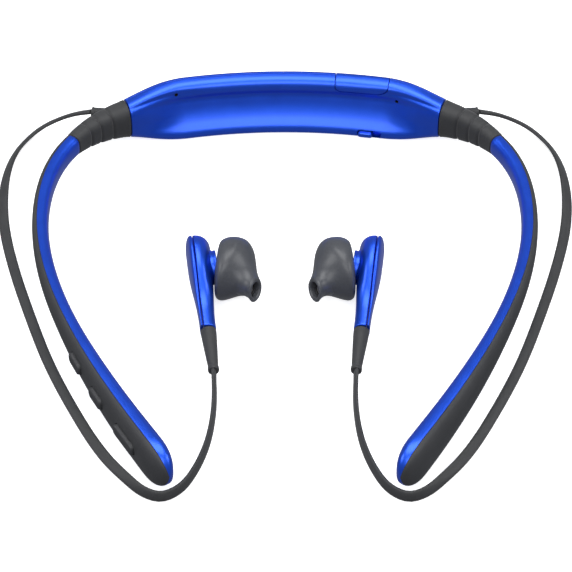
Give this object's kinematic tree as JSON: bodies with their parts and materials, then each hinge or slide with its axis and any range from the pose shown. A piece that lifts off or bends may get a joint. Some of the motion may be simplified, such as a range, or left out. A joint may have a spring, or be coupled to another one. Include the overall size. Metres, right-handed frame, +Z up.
{
  "type": "neckband earphones",
  "caption": "Wireless neckband earphones: rear housing, flexible sleeves, slim arms with keys, and an angled earbud on a flat cord from each sleeve.",
  "frame": {"origin": "middle of the housing, arms and earbuds on the table they lie on, without the cords", "axes": "+X to the wearer's left, +Y to the back of the neck, +Z up off the table"},
  "size_m": [0.173, 0.17, 0.0181],
  "materials": {
    "blue_shell": "satin metallic lacquer",
    "graphite_shell": "fine matte texture",
    "sleeve_rubber": "soft matte",
    "cord_rubber": "soft matte",
    "ear_silicone": "smooth satin silicone",
    "black_plastic": "matte",
    "board": "solder mask",
    "steel": "plain",
    "cell_foil": "foil pouch"
  },
  "bodies": {
    "band": {"rear_housing": "blue_shell", "front_housing": "blue_shell", "charging_socket": "steel", "battery": "cell_foil", "main_board": "board", "radio_shield": "steel", "vibration_motor": "steel", "microphone_right": "steel", "microphone_left": "steel", "switch_body": "black_plastic", "right_flex_sleeve": "sleeve_rubber", "right_flex_core": "steel", "left_flex_sleeve": "sleeve_rubber", "left_flex_core": "steel"},
    "right_arm": {"right_arm_outer_shell": "graphite_shell", "right_arm_inner_cover": "blue_shell", "right_arm_spring": "steel", "right_cord_boot": "sleeve_rubber", "right_cord": "cord_rubber", "right_strain_relief": "sleeve_rubber", "right_bud_cap": "blue_shell", "right_bud_body": "blue_shell", "right_nozzle": "black_plastic", "right_nozzle_screen": "steel", "right_driver": "steel", "right_driver_magnet": "steel", "key_board": "board", "volume_up_tact": "steel", "volume_down_tact": "steel", "play_tact": "steel"},
    "right_ear_gel": {"right_ear_gel": "ear_silicone"},
    "left_arm": {"left_arm_outer_shell": "graphite_shell", "left_arm_inner_cover": "blue_shell", "left_arm_spring": "steel", "left_cord_boot": "sleeve_rubber", "left_cord": "cord_rubber", "left_strain_relief": "sleeve_rubber", "left_bud_cap": "blue_shell", "left_bud_body": "blue_shell", "left_nozzle": "black_plastic", "left_nozzle_screen": "steel", "left_driver": "steel", "left_driver_magnet": "steel"},
    "left_ear_gel": {"left_ear_gel": "ear_silicone"},
    "volume_up_key": {"volume_up_key": "graphite_shell"},
    "volume_down_key": {"volume_down_key": "graphite_shell"},
    "play_key": {"play_key": "graphite_shell"},
    "power_switch": {"power_switch": "blue_shell"},
    "port_cover": {"port_cover": "blue_shell"}
  },
  "joints": [
    {"name": "right_arm_spread", "type": "hinge", "parent": "band", "child": "right_arm", "pos_m": [-0.05739, 0.06448, 0.00845], "axis": [0, 0, -1], "range_deg": [-4, 18], "stiffness_Nm_per_rad": 0.5, "deforming": ["right_flex_sleeve", "right_flex_core"]},
    {"name": "left_arm_spread", "type": "hinge", "parent": "band", "child": "left_arm", "pos_m": [0.05739, 0.06448, 0.00845], "axis": [0, 0, 1], "range_deg": [-4, 18], "stiffness_Nm_per_rad": 0.5, "deforming": ["left_flex_sleeve", "left_flex_core"]},
    {"name": "volume_up_press", "type": "slide", "parent": "right_arm", "child": "volume_up_key", "axis": [0.9099, 0.4149, 0], "range_m": [0, 0.0006], "stiffness_N_per_m": 900},
    {"name": "volume_down_press", "type": "slide", "parent": "right_arm", "child": "volume_down_key", "axis": [0.89, 0.456, 0], "range_m": [0, 0.0006], "stiffness_N_per_m": 900},
    {"name": "play_press", "type": "slide", "parent": "right_arm", "child": "play_key", "axis": [0.8711, 0.4911, 0], "range_m": [0, 0.0006], "stiffness_N_per_m": 900},
    {"name": "power_switch_slide", "type": "slide", "parent": "band", "child": "power_switch", "axis": [0.987, -0.161, 0], "range_m": [0, 0.0024]},
    {"name": "port_cover_open", "type": "hinge", "parent": "band", "child": "port_cover", "pos_m": [0.0243, 0.0817, 0.01384], "axis": [-0.9891, 0.147, 0], "range_deg": [0, 100]},
    {"name": "right_ear_gel_pull", "type": "slide", "parent": "right_arm", "child": "right_ear_gel", "axis": [0.8595, -0.4713, 0.1981], "range_m": [0, 0.007]},
    {"name": "left_ear_gel_pull", "type": "slide", "parent": "left_arm", "child": "left_ear_gel", "axis": [-0.8595, -0.4713, 0.1981], "range_m": [0, 0.007]}
  ]
}
